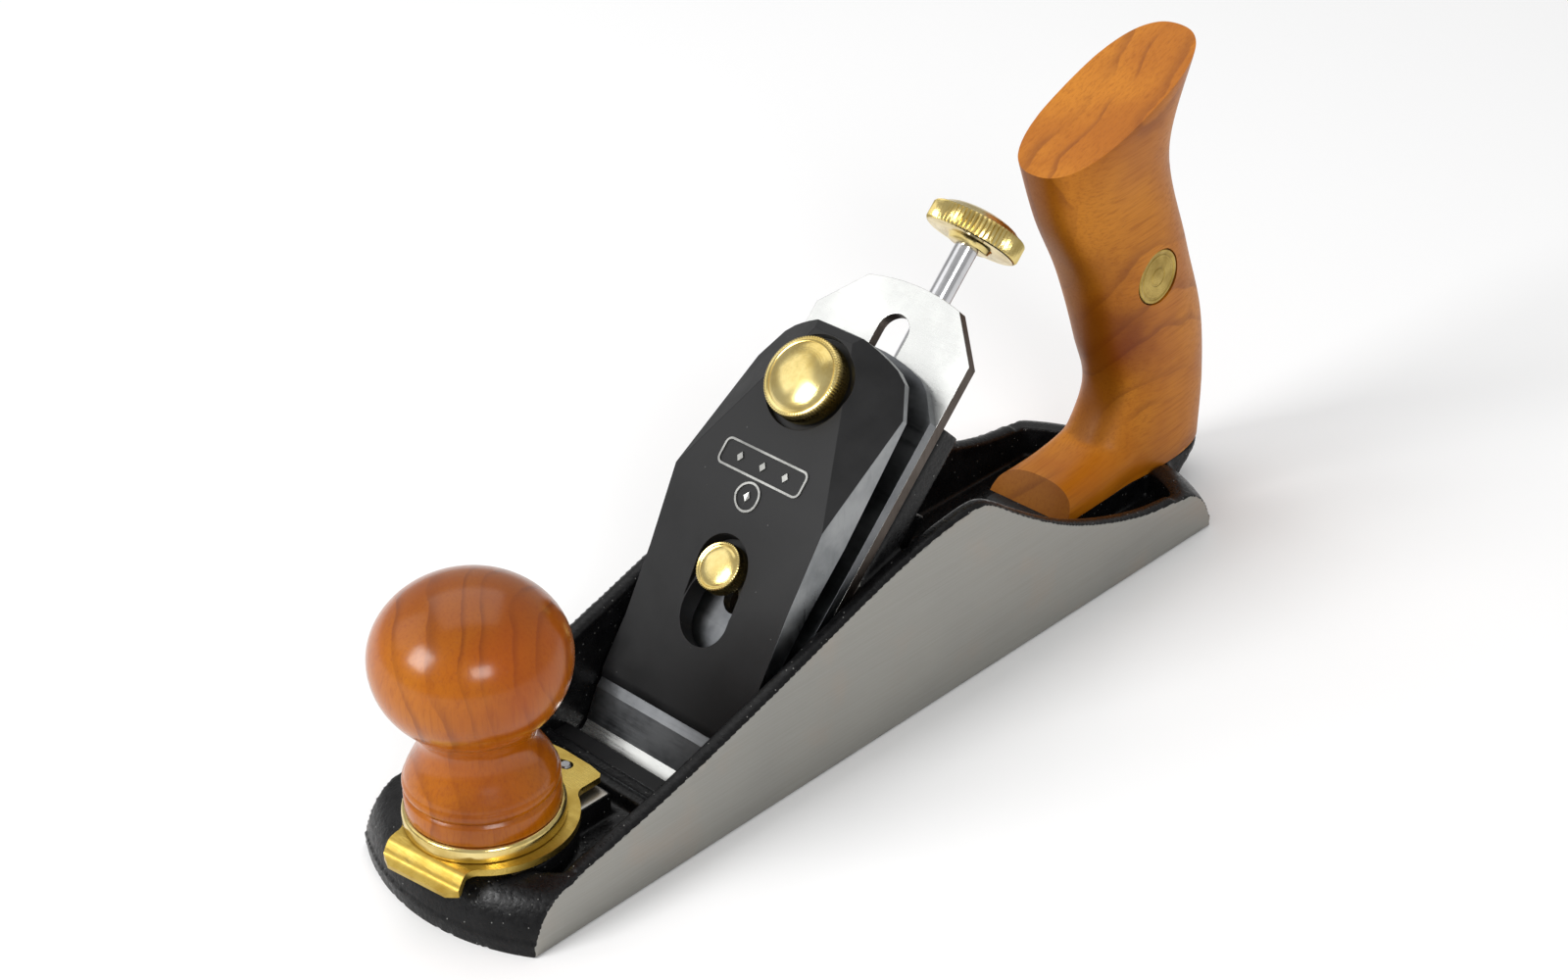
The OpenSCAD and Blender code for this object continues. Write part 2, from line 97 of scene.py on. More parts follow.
def make(name, verts, faces, matrix=None):
    """A new object from points in millimetres."""
    mesh = bpy.data.meshes.new(name)
    mesh.from_pydata([Vector(v) * MM for v in verts], [], faces)
    mesh.validate()
    ob = bpy.data.objects.new(name, mesh)
    bpy.context.scene.collection.objects.link(ob)
    if matrix is not None:
        ob.matrix_world = matrix
    return ob


def edit(ob, work):
    """Runs work(bm) on the object's mesh."""
    bm = bmesh.new()
    bm.from_mesh(ob.data)
    work(bm)
    bm.to_mesh(ob.data)
    bm.free()
    ob.data.update()
    return ob


def shade(ob, degrees):
    """Smooth faces, with sharp edges where the surface turns by more than the angle."""
    def work(bm):
        bmesh.ops.recalc_face_normals(bm, faces=bm.faces)
        for f in bm.faces:
            f.smooth = True
        for e in bm.edges:
            e.smooth = len(e.link_faces) == 2 and e.calc_face_angle(0) < math.radians(degrees)
    return edit(ob, work)


def apply_modifiers(ob):
    bpy.context.view_layer.update()
    deps = bpy.context.evaluated_depsgraph_get()
    mesh = bpy.data.meshes.new_from_object(ob.evaluated_get(deps))
    ob.modifiers.clear()
    ob.data = mesh
    return ob


def modify(ob, kind, **settings):
    m = ob.modifiers.new(kind.lower(), kind)
    for key, value in settings.items():
        setattr(m, key, value)
    return m


TOOTH = (0, 0.5, 1, 0.5)  # the knurl's depth at the four steps of one tooth


def lathe(name, profile, matrix, segments=128, teeth=0, depth=0.0, ring=False, sharp=35.0):
    """Turns a profile of (r, z) or (r, z, knurl) about local z. ring joins the profile's ends."""
    if teeth:
        segments = teeth * len(TOOTH)
    verts, rows = [], []
    for p in profile:
        r, z, cut = p[0], p[1], (p[2] if len(p) > 2 else 0)
        if r == 0:
            rows.append([len(verts)])
            verts.append((0, 0, z))
            continue
        row = []
        for k in range(segments):
            a = TAU * k / segments
            rr = r - cut * depth * TOOTH[k % len(TOOTH)]
            row.append(len(verts))
            verts.append((rr * math.cos(a), rr * math.sin(a), z))
        rows.append(row)
    faces = []
    pairs = list(zip(rows, rows[1:])) + ([(rows[-1], rows[0])] if ring else [])
    for low, high in pairs:
        for k in range(segments):
            j = (k + 1) % segments
            if len(low) == 1 and len(high) == 1:
                continue
            if len(low) == 1:
                faces.append((low[0], high[j], high[k]))
            elif len(high) == 1:
                faces.append((low[k], low[j], high[0]))
            else:
                faces.append((low[k], low[j], high[j], high[k]))
    return shade(make(name, verts, faces, matrix), sharp)


def bare_copy(name, node):
    """A fresh mesh with the CAD node's shape, its flat faces whole again."""
    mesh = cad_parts[node].data
    bm = bmesh.new()
    bm.from_mesh(mesh)
    bmesh.ops.remove_doubles(bm, verts=bm.verts, dist=3e-6)
    bmesh.ops.dissolve_limit(bm, angle_limit=math.radians(0.6), verts=bm.verts, edges=bm.edges)
    verts = [tuple(v.co / MM) for v in bm.verts]
    faces = [tuple(v.index for v in f.verts) for f in bm.faces]
    bm.free()
    return make(name, verts, faces)


def eased_copy(name, node, width, segments=2, angle=32.0, sharp=50.0):
    """The CAD node's shape with its edges eased."""
    ob = bare_copy(name, node)
    modify(ob, "BEVEL", width=width * MM, segments=segments, limit_method="ANGLE",
           angle_limit=math.radians(angle), use_clamp_overlap=True, miter_outer="MITER_ARC")
    apply_modifiers(ob)
    shade(ob, sharp)
    modify(ob, "WEIGHTED_NORMAL", weight=60, keep_sharp=True)
    return apply_modifiers(ob)


def sweep(path, section):
    """Verts and faces of a closed tube. path has (x, z) points; section has (y, out) points across it."""
    rows = []
    for i, (x, z) in enumerate(path):
        ax, az = path[max(i - 1, 0)]
        bx, bz = path[min(i + 1, len(path) - 1)]
        run = math.hypot(bx - ax, bz - az)
        nx, nz = (bz - az) / run, -(bx - ax) / run
        if nz < 0:
            nx, nz = -nx, -nz
        rows.append([(x + nx * o, y, z + nz * o) for y, o in section])
    return loft(rows)


def loft(rows):
    """Verts and faces of a closed solid through rings of the same length."""
    verts = [p for row in rows for p in row]
    n, m = len(rows[0]), len(rows)
    faces = [(i * n + k, i * n + (k + 1) % n, (i + 1) * n + (k + 1) % n, (i + 1) * n + k)
             for i in range(m - 1) for k in range(n)]
    faces.append(tuple(range(n - 1, -1, -1)))
    faces.append(tuple((m - 1) * n + k for k in range(n)))
    return verts, faces


def joined(name, parts):
    """One object from several (verts, faces) pairs."""
    verts, faces = [], []
    for v, f in parts:
        base = len(verts)
        verts += v
        faces += [tuple(i + base for i in face) for face in f]
    ob = make(name, verts, faces)
    return edit(ob, lambda bm: bmesh.ops.recalc_face_normals(bm, faces=bm.faces))


def mesh_lists(ob):
    return [tuple(v.co / MM) for v in ob.data.vertices], [tuple(p.vertices) for p in ob.data.polygons]


def cut_flat(ob, point, normal):
    """Takes away the normal's side of a plane and closes the cut with one face."""
    def work(bm):
        found = bmesh.ops.bisect_plane(
            bm, geom=bm.verts[:] + bm.edges[:] + bm.faces[:], dist=1e-7,
            plane_co=Vector(point) * MM, plane_no=Vector(normal), clear_outer=True)
        rim = [e for e in found["geom_cut"] if isinstance(e, bmesh.types.BMEdge)]
        bmesh.ops.contextual_create(bm, geom=rim)
    return edit(ob, work)


def remeshed(ob, voxel, smooth):
    """One skin over everything in the mesh, softened as a casting or a rasped grip is."""
    modify(ob, "REMESH", mode="VOXEL", voxel_size=voxel * MM, adaptivity=0.0)
    modify(ob, "SMOOTH", factor=0.5, iterations=smooth)
    return apply_modifiers(ob)


def thinned(ob, keep):
    """Keeps that share of the faces."""
    modify(ob, "DECIMATE", decimate_type="COLLAPSE", ratio=keep)
    return apply_modifiers(ob)


# ------------------------------------------------------------------ material helpers
class Graph:
    """A material's node tree, with short calls for the nodes used here."""

    def __init__(self, name):
        self.mat = bpy.data.materials.new(name)
        self.mat.use_nodes = True
        self.tree = self.mat.node_tree
        self.tree.nodes.clear()
        self.bsdf = self.node("ShaderNodeBsdfPrincipled")
        out = self.node("ShaderNodeOutputMaterial")
        self.tree.links.new(self.bsdf.outputs[0], out.inputs[0])

    def node(self, kind, **settings):
        n = self.tree.nodes.new(kind)
        for key, value in settings.items():
            setattr(n, key, value)
        return n

    def put(self, socket, value):
        if isinstance(value, bpy.types.NodeSocket):
            self.tree.links.new(value, socket)
        else:
            socket.default_value = value

    def place(self):
        """The object's own coordinates, in millimetres."""
        return self.scaled(self.node("ShaderNodeTexCoord").outputs["Object"], (1 / MM, 1 / MM, 1 / MM))

    def scaled(self, vec, scale, turn=(0, 0, 0), shift=(0, 0, 0)):
        n = self.node("ShaderNodeMapping")
        self.put(n.inputs["Vector"], vec)
        n.inputs["Scale"].default_value = scale
        n.inputs["Rotation"].default_value = [math.radians(t) for t in turn]
        n.inputs["Location"].default_value = shift
        return n.outputs[0]

    def split(self, vec):
        n = self.node("ShaderNodeSeparateXYZ")
        self.put(n.inputs[0], vec)
        return n.outputs

    def gather(self, x, y, z):
        n = self.node("ShaderNodeCombineXYZ")
        for socket, value in zip(n.inputs, (x, y, z)):
            self.put(socket, value)
        return n.outputs[0]

    def calc(self, op, a, b=0.0):
        n = self.node("ShaderNodeMath", operation=op)
        self.put(n.inputs[0], a)
        self.put(n.inputs[1], b)
        return n.outputs[0]

    def noise(self, vec, scale, detail=2.0, rough=0.5, distort=0.0):
        n = self.node("ShaderNodeTexNoise")
        self.put(n.inputs["Vector"], vec)
        n.inputs["Scale"].default_value = scale
        n.inputs["Detail"].default_value = detail
        n.inputs["Roughness"].default_value = rough
        n.inputs["Distortion"].default_value = distort
        return n.outputs[0]

    def cells(self, vec, scale):
        n = self.node("ShaderNodeTexVoronoi")
        self.put(n.inputs["Vector"], vec)
        n.inputs["Scale"].default_value = scale
        return n.outputs

    def span(self, value, low, high, to_low=0.0, to_high=1.0):
        n = self.node("ShaderNodeMapRange", interpolation_type="SMOOTHSTEP")
        self.put(n.inputs["Value"], value)
        for key, v in (("From Min", low), ("From Max", high), ("To Min", to_low), ("To Max", to_high)):
            n.inputs[key].default_value = v
        return n.outputs[0]

    def mix(self, fac, a, b):
        n = self.node("ShaderNodeMix", data_type="RGBA")
        self.put(n.inputs["Factor"], fac)
        self.put(n.inputs[6], a)  # the colour inputs share their names with the float ones
        self.put(n.inputs[7], b)
        return n.outputs[2]

    def blend(self, fac, a, b):
        """The same for plain numbers."""
        n = self.node("ShaderNodeMix", data_type="FLOAT")
        for socket, value in zip(n.inputs, (fac, None, a, b)):
            if value is not None:
                self.put(socket, value)
        return n.outputs[0]

    def bump(self, height, distance, strength=1.0):
        n = self.node("ShaderNodeBump")
        n.inputs["Strength"].default_value = strength
        n.inputs["Distance"].default_value = distance
        self.put(n.inputs["Height"], height)
        self.put(self.bsdf.inputs["Normal"], n.outputs[0])

    def set(self, **values):
        for key, value in values.items():
            self.put(self.bsdf.inputs[key.replace("_", " ")], value)
        return self.mat


def rgb(r, g, b):
    """An sRGB colour, 0 to 255, as linear."""
    parts = [v / 255 for v in (r, g, b)]
    return tuple(v / 12.92 if v <= 0.04 else ((v + 0.055) / 1.055) ** 2.4 for v in parts) + (1.0,)


def casting_material():
    """Black japanning, bare where it was ground or milled: the sides, the sole, the bed and the boss."""
    g = Graph("japanned_and_ground_iron")
    p = g.place()
    x, y, z = g.split(p)
    side = g.calc("GREATER_THAN", g.calc("ABSOLUTE", y), SIDE_Y - 0.03)
    sole = g.calc("LESS_THAN", z, 0.06)
    bed_off = g.calc("ABSOLUTE", g.calc("SUBTRACT", g.calc("ADD", x, z), EDGE_X - BED_DEPTH * 2 * C))
    between = g.calc("LESS_THAN", g.calc("ABSOLUTE", y), 25.6)
    on_bed = g.calc("MULTIPLY", g.calc("LESS_THAN", bed_off, 0.35), between)
    far = g.calc("POWER", g.calc("SUBTRACT", x, KNOB_X), 2.0)
    round_boss = g.calc("LESS_THAN", g.calc("ADD", far, g.calc("POWER", y, 2.0)), BOSS_R ** 2)
    pad = g.calc("MULTIPLY", g.calc("LESS_THAN", g.calc("ABSOLUTE", y), 12.7),
                 g.calc("MULTIPLY", g.calc("GREATER_THAN", x, 82.2), g.calc("LESS_THAN", x, 100.0)))
    boss = g.calc("MULTIPLY", g.calc("MAXIMUM", round_boss, pad),
                  g.calc("GREATER_THAN", z, BOSS_TOP - 0.05))
    bare = g.calc("MAXIMUM", g.calc("MAXIMUM", side, sole), g.calc("MAXIMUM", on_bed, boss))

    cloud = g.noise(p, 0.03, 4, 0.6)
    warm = g.noise(g.scaled(p, (1, 1, 1), shift=(40, 9, 3)), 0.05, 3, 0.55)
    scratch = g.noise(g.scaled(p, (0.04, 1.0, 3.2), turn=(0, 14, 0)), 1.0, 3, 0.7)
    metal = g.mix(cloud, rgb(140, 139, 134), rgb(162, 160, 153))
    metal = g.mix(g.span(warm, 0.5, 0.75, 0.0, 0.55), metal, rgb(162, 150, 138))
    metal = g.mix(g.span(scratch, 0.3, 0.7, 0.0, 0.16), metal, rgb(176, 176, 176))
    peel = g.noise(p, 0.9, 3, 0.6)
    lump = g.noise(p, 0.22, 2, 0.5)
    # rare light grey specks in the black: partly dust and worn spots, partly painted glints standing for
    # light caught by the orange peel along the rims
    speck_cells = g.cells(p, 0.75)
    dust_and_glint_speck = g.calc("LESS_THAN", speck_cells["Distance"], 0.13)
    rare = g.calc("GREATER_THAN", g.split(speck_cells["Color"])[0], 0.74)
    dust_and_glint_speck = g.calc("MULTIPLY", dust_and_glint_speck, rare)
    black = g.mix(g.span(lump, 0.35, 0.7), rgb(9, 9, 10), rgb(17, 17, 18))
    black = g.mix(g.calc("MULTIPLY", dust_and_glint_speck, 0.6), black, rgb(150, 150, 146))
    g.set(Base_Color=g.mix(bare, black, metal), Metallic=bare, Specular_IOR_Level=0.22)
    dull = g.span(cloud, 0.3, 0.7, 0.34, 0.44)
    paint = g.span(peel, 0.3, 0.7, 0.24, 0.42)
    g.set(Roughness=g.blend(bare, paint, dull))
    soft = g.calc("ADD", g.calc("MULTIPLY", peel, 0.5), g.calc("MULTIPLY", lump, 0.45))
    soft = g.calc("ADD", soft, g.calc("MULTIPLY", dust_and_glint_speck, 0.25))
    height = g.calc("MULTIPLY", soft, g.calc("SUBTRACT", 1.0, bare))
    height = g.calc("ADD", height, g.calc("MULTIPLY", g.calc("MULTIPLY", scratch, bare), 0.012))
    g.bump(height, 0.00035, 0.8)
    return g.mat


def steel_material(name, low, high, rough, lines):
    """Steel with fine grinding lines, cloudy wear and a few scratches."""
    g = Graph(name)
    p = g.place()
    line = g.noise(g.scaled(p, lines), 1.0, 4, 0.75)
    cloud = g.noise(p, 0.06, 4, 0.6)
    scratch = g.noise(g.scaled(p, (1.9, 0.12, 1.4), turn=(20, 10, 35)), 0.8, 1, 0.4, 0.6)
    tone = g.mix(g.span(cloud, 0.3, 0.7), rgb(*low), rgb(*high))
    tone = g.mix(g.span(line, 0.55, 0.8, 0.0, 0.25), tone, rgb(*[v * 0.72 for v in low]))
    tone = g.mix(g.span(scratch, 0.74, 0.80, 0.0, 0.12), tone, rgb(*[min(255, v * 1.3) for v in high]))
    g.set(Base_Color=tone, Metallic=1.0,
          Roughness=g.span(g.calc("ADD", line, cloud), 0.7, 1.3, rough * 0.8, rough * 1.25))
    g.bump(line, 0.00001)
    return g.mat


def brass_material(name, turned, low, high, rough):
    """Brass with a lathe's fine rings about local z, or with brush lines, and a little tarnish."""
    g = Graph(name)
    p = g.place()
    x, y, z = g.split(p)
    if turned:
        radius = g.calc("SQRT", g.calc("ADD", g.calc("POWER", x, 2.0), g.calc("POWER", y, 2.0)))
        line = g.noise(g.gather(radius, g.calc("MULTIPLY", z, 0.9), 0.0), 3.4, 3, 0.7)
    else:
        line = g.noise(g.scaled(p, (2.6, 0.10, 1.4), turn=(0, 0, 28)), 1.0, 4, 0.7)
    cloud = g.noise(p, 0.11, 4, 0.62)
    stain = g.noise(g.scaled(p, (1, 1, 1), shift=(11, 5, 7)), 0.35, 3, 0.6)
    tone = g.mix(g.span(cloud, 0.3, 0.72), rgb(*high), rgb(*low))
    tone = g.mix(g.span(line, 0.5, 0.85, 0.0, 0.4), tone, rgb(*[v * 0.8 for v in low]))
    tone = g.mix(g.span(stain, 0.62, 0.8, 0.0, 0.25), tone, rgb(132, 98, 44))
    g.set(Base_Color=tone, Metallic=1.0,
          Roughness=g.span(g.calc("ADD", line, cloud), 0.7, 1.3, rough * 0.75, rough * 1.6))
    g.bump(line, 0.00002)
    return g.mat


def wood_material(name, along, centre, spacing, tones, gloss, end_dark, patches, tilt, shine, coat):
    """Cherry. along is the grain's axis (0 x, 2 z); growth rings are tubes about that axis at centre.

    tones are dark, mid, light and ring; patches are (place, size, strength, tone)."""
    g = Graph(name)
    p = g.scaled(g.place(), (1, 1, 1), turn=tilt)
    xyz = g.split(p)
    wander = g.noise(p, 0.022, 2, 0.5)
    ripple = g.noise(p, 0.11, 2, 0.5)
    a, b = [xyz[i] for i in range(3) if i != along]
    da = g.calc("POWER", g.calc("SUBTRACT", a, centre[0]), 2.0)
    db = g.calc("POWER", g.calc("SUBTRACT", b, centre[1]), 2.0)
    far = g.calc("SQRT", g.calc("ADD", da, db))
    far = g.calc("ADD", far, g.calc("MULTIPLY", wander, 22.0))
    far = g.calc("ADD", far, g.calc("MULTIPLY", ripple, 1.8))
    uneven = g.noise(g.gather(far, 0.0, 0.0), 0.05, 1, 0.5)
    phase = g.calc("FRACT", g.calc("ADD", g.calc("DIVIDE", far, spacing), g.calc("MULTIPLY", uneven, 2.2)))
    rise = g.span(phase, 0.45, 0.93)
    drop = g.span(phase, 0.945, 0.995, 1.0, 0.0)
    faint = g.noise(p, 0.045, 2, 0.5)
    late = g.calc("MULTIPLY", g.calc("MULTIPLY", g.calc("POWER", rise, 3.0), drop),
                  g.span(faint, 0.34, 0.66, 0.1, 1.0))
    stretch = [1.5, 1.5, 1.5]
    stretch[along] = 0.05
    fibre = g.noise(g.scaled(p, stretch), 1.0, 4, 0.7, 0.3)
    stretch = [3.2, 3.2, 3.2]
    stretch[along] = 0.22
    pore = g.noise(g.scaled(p, stretch), 1.0, 2, 0.6)
    pores = g.span(pore, 0.66, 0.76)
    cloud = g.noise(p, 0.035, 3, 0.55)
    dark, mid, light, ring_tone = tones
    tone = g.mix(g.span(cloud, 0.3, 0.7), rgb(*mid), rgb(*light))
    tone = g.mix(g.span(fibre, 0.42, 0.75, 0.0, 0.55), tone, rgb(*dark))
    tone = g.mix(g.calc("MULTIPLY", late, 0.55), tone, rgb(*ring_tone))
    tone = g.mix(g.calc("MULTIPLY", pores, 0.35), tone, rgb(*ring_tone))
    for at, size, strength, colour in patches:
        gap = g.node("ShaderNodeVectorMath", operation="DISTANCE")
        g.put(gap.inputs[0], g.place())
        gap.inputs[1].default_value = at
        fray = g.calc("MULTIPLY", g.calc("SUBTRACT", cloud, 0.5), size * 1.4)
        frayed = g.calc("ADD", gap.outputs["Value"], fray)
        tone = g.mix(g.span(frayed, size * 0.2, size, strength, 0.0), tone, rgb(*colour))
    facing = g.split(g.node("ShaderNodeNewGeometry").outputs["Normal"])[along]
    ends = g.span(g.calc("ABSOLUTE", facing), 0.55, 0.98, 0.0, end_dark)
    tone = g.mix(ends, tone, rgb(*[v * 0.72 for v in dark]))
    g.set(Base_Color=tone,
          Roughness=g.span(g.calc("ADD", fibre, cloud), 0.7, 1.3, gloss * 0.9, gloss * 1.25),
          Specular_IOR_Level=shine, Coat_Weight=coat, Coat_Roughness=gloss * 0.7)
    height = g.calc("SUBTRACT", g.calc("MULTIPLY", fibre, 0.35), g.calc("MULTIPLY", pores, 0.5))
    g.bump(height, 0.00006, 0.7)
    return g.mat


def cap_material():
    """Satin black enamel with cloudy wear and fine dust marks."""
    g = Graph("satin_black_enamel")
    p = g.place()
    cloud = g.noise(p, 0.07, 4, 0.6)
    fine = g.noise(p, 1.6, 3, 0.6)
    mark = g.cells(p, 0.32)
    dots = g.calc("MULTIPLY", g.calc("LESS_THAN", mark["Distance"], 0.055),
                  g.calc("GREATER_THAN", g.split(mark["Color"])[1], 0.72))
    tone = g.mix(g.span(cloud, 0.3, 0.7), rgb(15, 15, 16), rgb(24, 24, 25))
    tone = g.mix(g.calc("MULTIPLY", dots, 0.35), tone, rgb(120, 120, 118))
    g.set(Base_Color=tone, Roughness=g.span(cloud, 0.3, 0.7, 0.42, 0.54), Specular_IOR_Level=0.30)
    g.bump(g.calc("ADD", g.calc("MULTIPLY", fine, 0.35), g.calc("MULTIPLY", cloud, 0.4)), 0.00006, 0.7)
    return g.mat


# ------------------------------------------------------------------ materials
STEELS = {  # name, low and high tone, roughness, stretch of the grinding lines
    "ground": ("ground_steel", (148, 148, 147), (172, 171, 169), 0.34, (0.06, 2.0, 1.6)),
    "plain": ("plain_steel", (150, 150, 152), (178, 178, 180), 0.28, (1.8, 0.08, 1.8)),
    "stainless": ("stainless_rod", (190, 190, 192), (214, 214, 216), 0.16, (2.4, 2.4, 0.1)),
    "blade": ("blade_steel", (204, 205, 203), (218, 219, 216), 0.30, (1.2, 0.05, 1.2)),
    "blade_edge": ("blade_dark_edge", (70, 62, 56), (98, 90, 84), 0.42, (1.4, 1.4, 0.08)),
    "breaker": ("breaker_steel", (96, 98, 101), (128, 130, 132), 0.36, (1.6, 0.06, 1.6)),
    "cap_edge": ("cap_ground_edge", (116, 119, 121), (156, 158, 159), 0.33, (1.4, 1.4, 0.08)),
    "badge": ("rubbed_badge", (120, 120, 118), (176, 176, 172), 0.36, (1.2, 1.2, 0.2)),
}
MAT = {key: steel_material(*values) for key, values in STEELS.items()}
MAT["casting"] = casting_material()
MAT["cap"] = cap_material()
MAT["brass"] = brass_material("turned_brass", True, (196, 170, 96), (232, 212, 146), 0.17)
MAT["brass_flat"] = brass_material("brushed_brass", False, (170, 140, 60), (200, 174, 92), 0.30)
MAT["brass_dull"] = brass_material("aged_brass", True, (150, 124, 58), (190, 164, 90), 0.27)
MAT["knob"] = wood_material(
    "cherry_knob", along=2, centre=(-46.0, 34.0), spacing=6.5,
    tones=((132, 60, 2), (156, 78, 2), (168, 96, 8), (104, 44, 4)), gloss=0.20, end_dark=0.35,
    patches=[((-2, 20, 68), 17, 0.35, (160, 66, 2)), ((16, 14, 28), 15, 0.5, (100, 38, 4))],
    tilt=(6, -5, 0), shine=0.3, coat=0.12)
MAT["tote"] = wood_material(
    "cherry_tote", along=0, centre=(-52.0, 96.0), spacing=9.0,
    tones=((140, 72, 4), (170, 97, 10), (194, 121, 28), (118, 58, 10)), gloss=0.38, end_dark=0.75,
    patches=[((-103, 8, 57), 17, 0.55, (96, 34, 6)), ((-97, 10, 82), 16, 0.4, (102, 38, 6)),
             ((-110, 10, 47), 13, 0.45, (108, 36, 6)), ((-100, 12, 27), 22, 0.6, (188, 104, 8))],
    tilt=(0, -5, 0), shine=0.18, coat=0.05)

NODE_LOOKS = {
    "body_casting": "casting", "toe_plate": "ground", "toe_stud": "plain", "lever_guide_pin": "plain",
    "mouth_lever": "brass_flat", "lever_washer": "brass_dull", "knob_collar": "brass", "front_knob": "knob",
    "knob_insert": "brass_dull", "blade": "blade", "chipbreaker": "breaker", "chipbreaker_screw": "plain",
    "lever_cap": "cap", "cap_wheel": "brass", "cap_wheel_stud": "plain", "cap_wheel_foot": "plain",
    "lever_cap_screw": "brass", "adjuster_pivot": "plain", "adjuster_rod": "stainless",
    "adjuster_knob": "brass", "adjuster_retaining_ring": "plain", "adjuster_carriage": "brass_dull",
    "tote": "tote", "tote_bolt": "plain", "tote_barrel_nut": "brass_dull", "tote_bolt_washer": "plain",
    "medallion": "brass_dull",
}
for node, look in NODE_LOOKS.items():
    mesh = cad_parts[node].data
    mesh.materials.clear()
    mesh.materials.append(MAT[look])


def piece(ob, body, look, node=None, second=None, faces=None):
    """Gives a new piece its body, its material and the node that it stands for.

    The faces for which faces(face) is true take the second look."""
    ob.data.materials.clear()
    ob.data.materials.append(MAT[look])
    if second:
        ob.data.materials.append(MAT[second])
        for f in ob.data.polygons:
            if faces(f):
                f.material_index = 1
    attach(ob, body)
    if node:
        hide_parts(node)


# ------------------------------------------------------------------ body casting
WALL_LINE = [(108, 15.1), (94, 18.1), (75, 22.9), (50, 30.4), (29, 37.2), (9, 43.7), (-5, 47.4),
             (-16, 49.3), (-26, 50), (-32, 47.8), (-41.6, 40.9), (-53.4, 33.1), (-65.4, 26.6),
             (-79.8, 20.8), (-94.4, 16.5), (-107, 14.6)]
BEAD_Y, BEAD_DROP, BEAD_W, BEAD_H = 28.15, 0.6, 2.35, 1.65  # the rounded rim on both walls
HALF_LENGTH, END_R = 131.6, 57.0
SNAP = 0.38  # how far the voxel skin may stand off a machined face


def build_body():
    shell = bare_copy("casting_shell", "body_casting")
    parts = [mesh_lists(shell)]
    bpy.data.objects.remove(shell)
    line = catmull(WALL_LINE, 5)
    for sign in (-1, 1):
        turns = [TAU * k / 20 for k in range(20)]
        rim = [(sign * (BEAD_Y + BEAD_W * math.cos(a)), BEAD_H * math.sin(a) - BEAD_DROP) for a in turns]
        parts.append(sweep(line, rim))
    ob = joined("casting", parts)
    remeshed(ob, 0.62, 4)

    def flatten(bm):
        """Machined faces made true again: the sides, the sole and the round ends up to the rim's curve."""
        for v in bm.verts:
            x, y, z = v.co / MM
            middle = Vector((math.copysign(HALF_LENGTH - END_R, x), 0))
            away = Vector((x, y)) - middle
            if abs(y) > SIDE_Y - SNAP:
                v.co.y = math.copysign(SIDE_Y, y) * MM
            elif abs(x) > 100 and z < 12.5 and abs(away.length - END_R) < SNAP:
                v.co.x, v.co.y = (middle + away * (END_R / away.length)) * MM
            if z < SNAP:
                v.co.z = 0.0

    edit(ob, flatten)
    thinned(ob, 0.30)
    edit(ob, flatten)
    shade(ob, 60)
    modify(ob, "WEIGHTED_NORMAL", weight=70, keep_sharp=True)
    apply_modifiers(ob)
    piece(ob, "body", "casting", "body_casting")


build_body()

# ------------------------------------------------------------------ toe plate, lever and collar
AT_KNOB = Matrix.Translation((KNOB_X * MM, 0, 0))

# ground below and at the mouth, painted above
piece(eased_copy("toe_plate_ground", "toe_plate", 0.15), "toe", "ground", "toe_plate",
      "cap", lambda f: f.normal.z > 0.5)
piece(eased_copy("mouth_lever_plate", "mouth_lever", 0.28, angle=40),
      "lever", "brass_flat", "mouth_lever")
washer = lathe("lever_washer_turned", [
    (4.05, 14.65), (18.0, 14.65), (18.3, 14.9), (18.3, 15.85), (18.05, 16.1), (4.05, 16.1)],
    AT_KNOB, ring=True)
piece(washer, "toe", "brass_dull", "lever_washer")
collar = lathe("knob_collar_turned", [
    (4.1, 17.95), (18.55, 17.95), (18.95, 18.15), (19.0, 18.5), (19.0, 20.7), (18.85, 21.3),
    (18.45, 21.65), (17.9, 21.75), (4.1, 21.75)], AT_KNOB, segments=160, ring=True, sharp=50)
piece(collar, "collar", "brass", "knob_collar")

# ------------------------------------------------------------------ front knob
BALL_R, BALL_Z = 23.1, 61.4
BALL_LOW, BALL_HIGH = 20.5, 18.9  # the ball is a little flattened, more so above its middle


def knob_profile():
    low = [(0, 21.8), (17.6, 21.8), (18.05, 21.95), (18.2, 22.3), (18.2, 24.4), (18.15, 26.3),
           (17.95, 26.9), (17.45, 27.3), (17.35, 27.5)]
    bead = arc(16.25, 29.25, 1.95, -52, 42, 8)
    flare = catmull([(17.7, 30.55), (17.2, 32.0), (16.0, 34.3), (14.5, 37.1), (13.6, 40.1), (13.8, 42.7),
                     (14.85, 44.9), (16.33, 46.9)], 5)
    ball = []
    for t in range(-45, 90, 3):
        rise = BALL_LOW if t < 0 else BALL_HIGH
        ball.append((BALL_R * math.cos(math.radians(t)), BALL_Z + rise * math.sin(math.radians(t))))
    return low + bead + flare[1:-1] + ball + [(0, BALL_Z + BALL_HIGH)]


knob = lathe("knob_turned", knob_profile(), AT_KNOB, segments=144, sharp=50)
piece(knob, "knob", "knob", "front_knob")

# ------------------------------------------------------------------ blade, chipbreaker and lever cap
def off_bed(f, most):
    """True for a face that leans away from the bed's own slope."""
    return abs(f.normal.dot(BED_NORMAL)) < most


def cap_flank(f):
    """True for the ground faces along the cap's sides and round its top."""
    middle = f.center / MM
    s = (middle.z - (middle.x - EDGE_X)) * C
    return (abs(middle.y) > 19.5 or s > 111.5) and off_bed(f, 0.55)


piece(eased_copy("blade_ground", "blade", 0.18, angle=20), "blade_set", "blade", "blade",
      "blade_edge", lambda f: off_bed(f, 0.6))
piece(eased_copy("chipbreaker_plate", "chipbreaker", 0.2, angle=18),
      "blade_set", "breaker", "chipbreaker")
piece(eased_copy("lever_cap_cast", "lever_cap", 0.5, segments=3, angle=24, sharp=60),
      "cap", "cap", "lever_cap", "cap_edge", cap_flank)

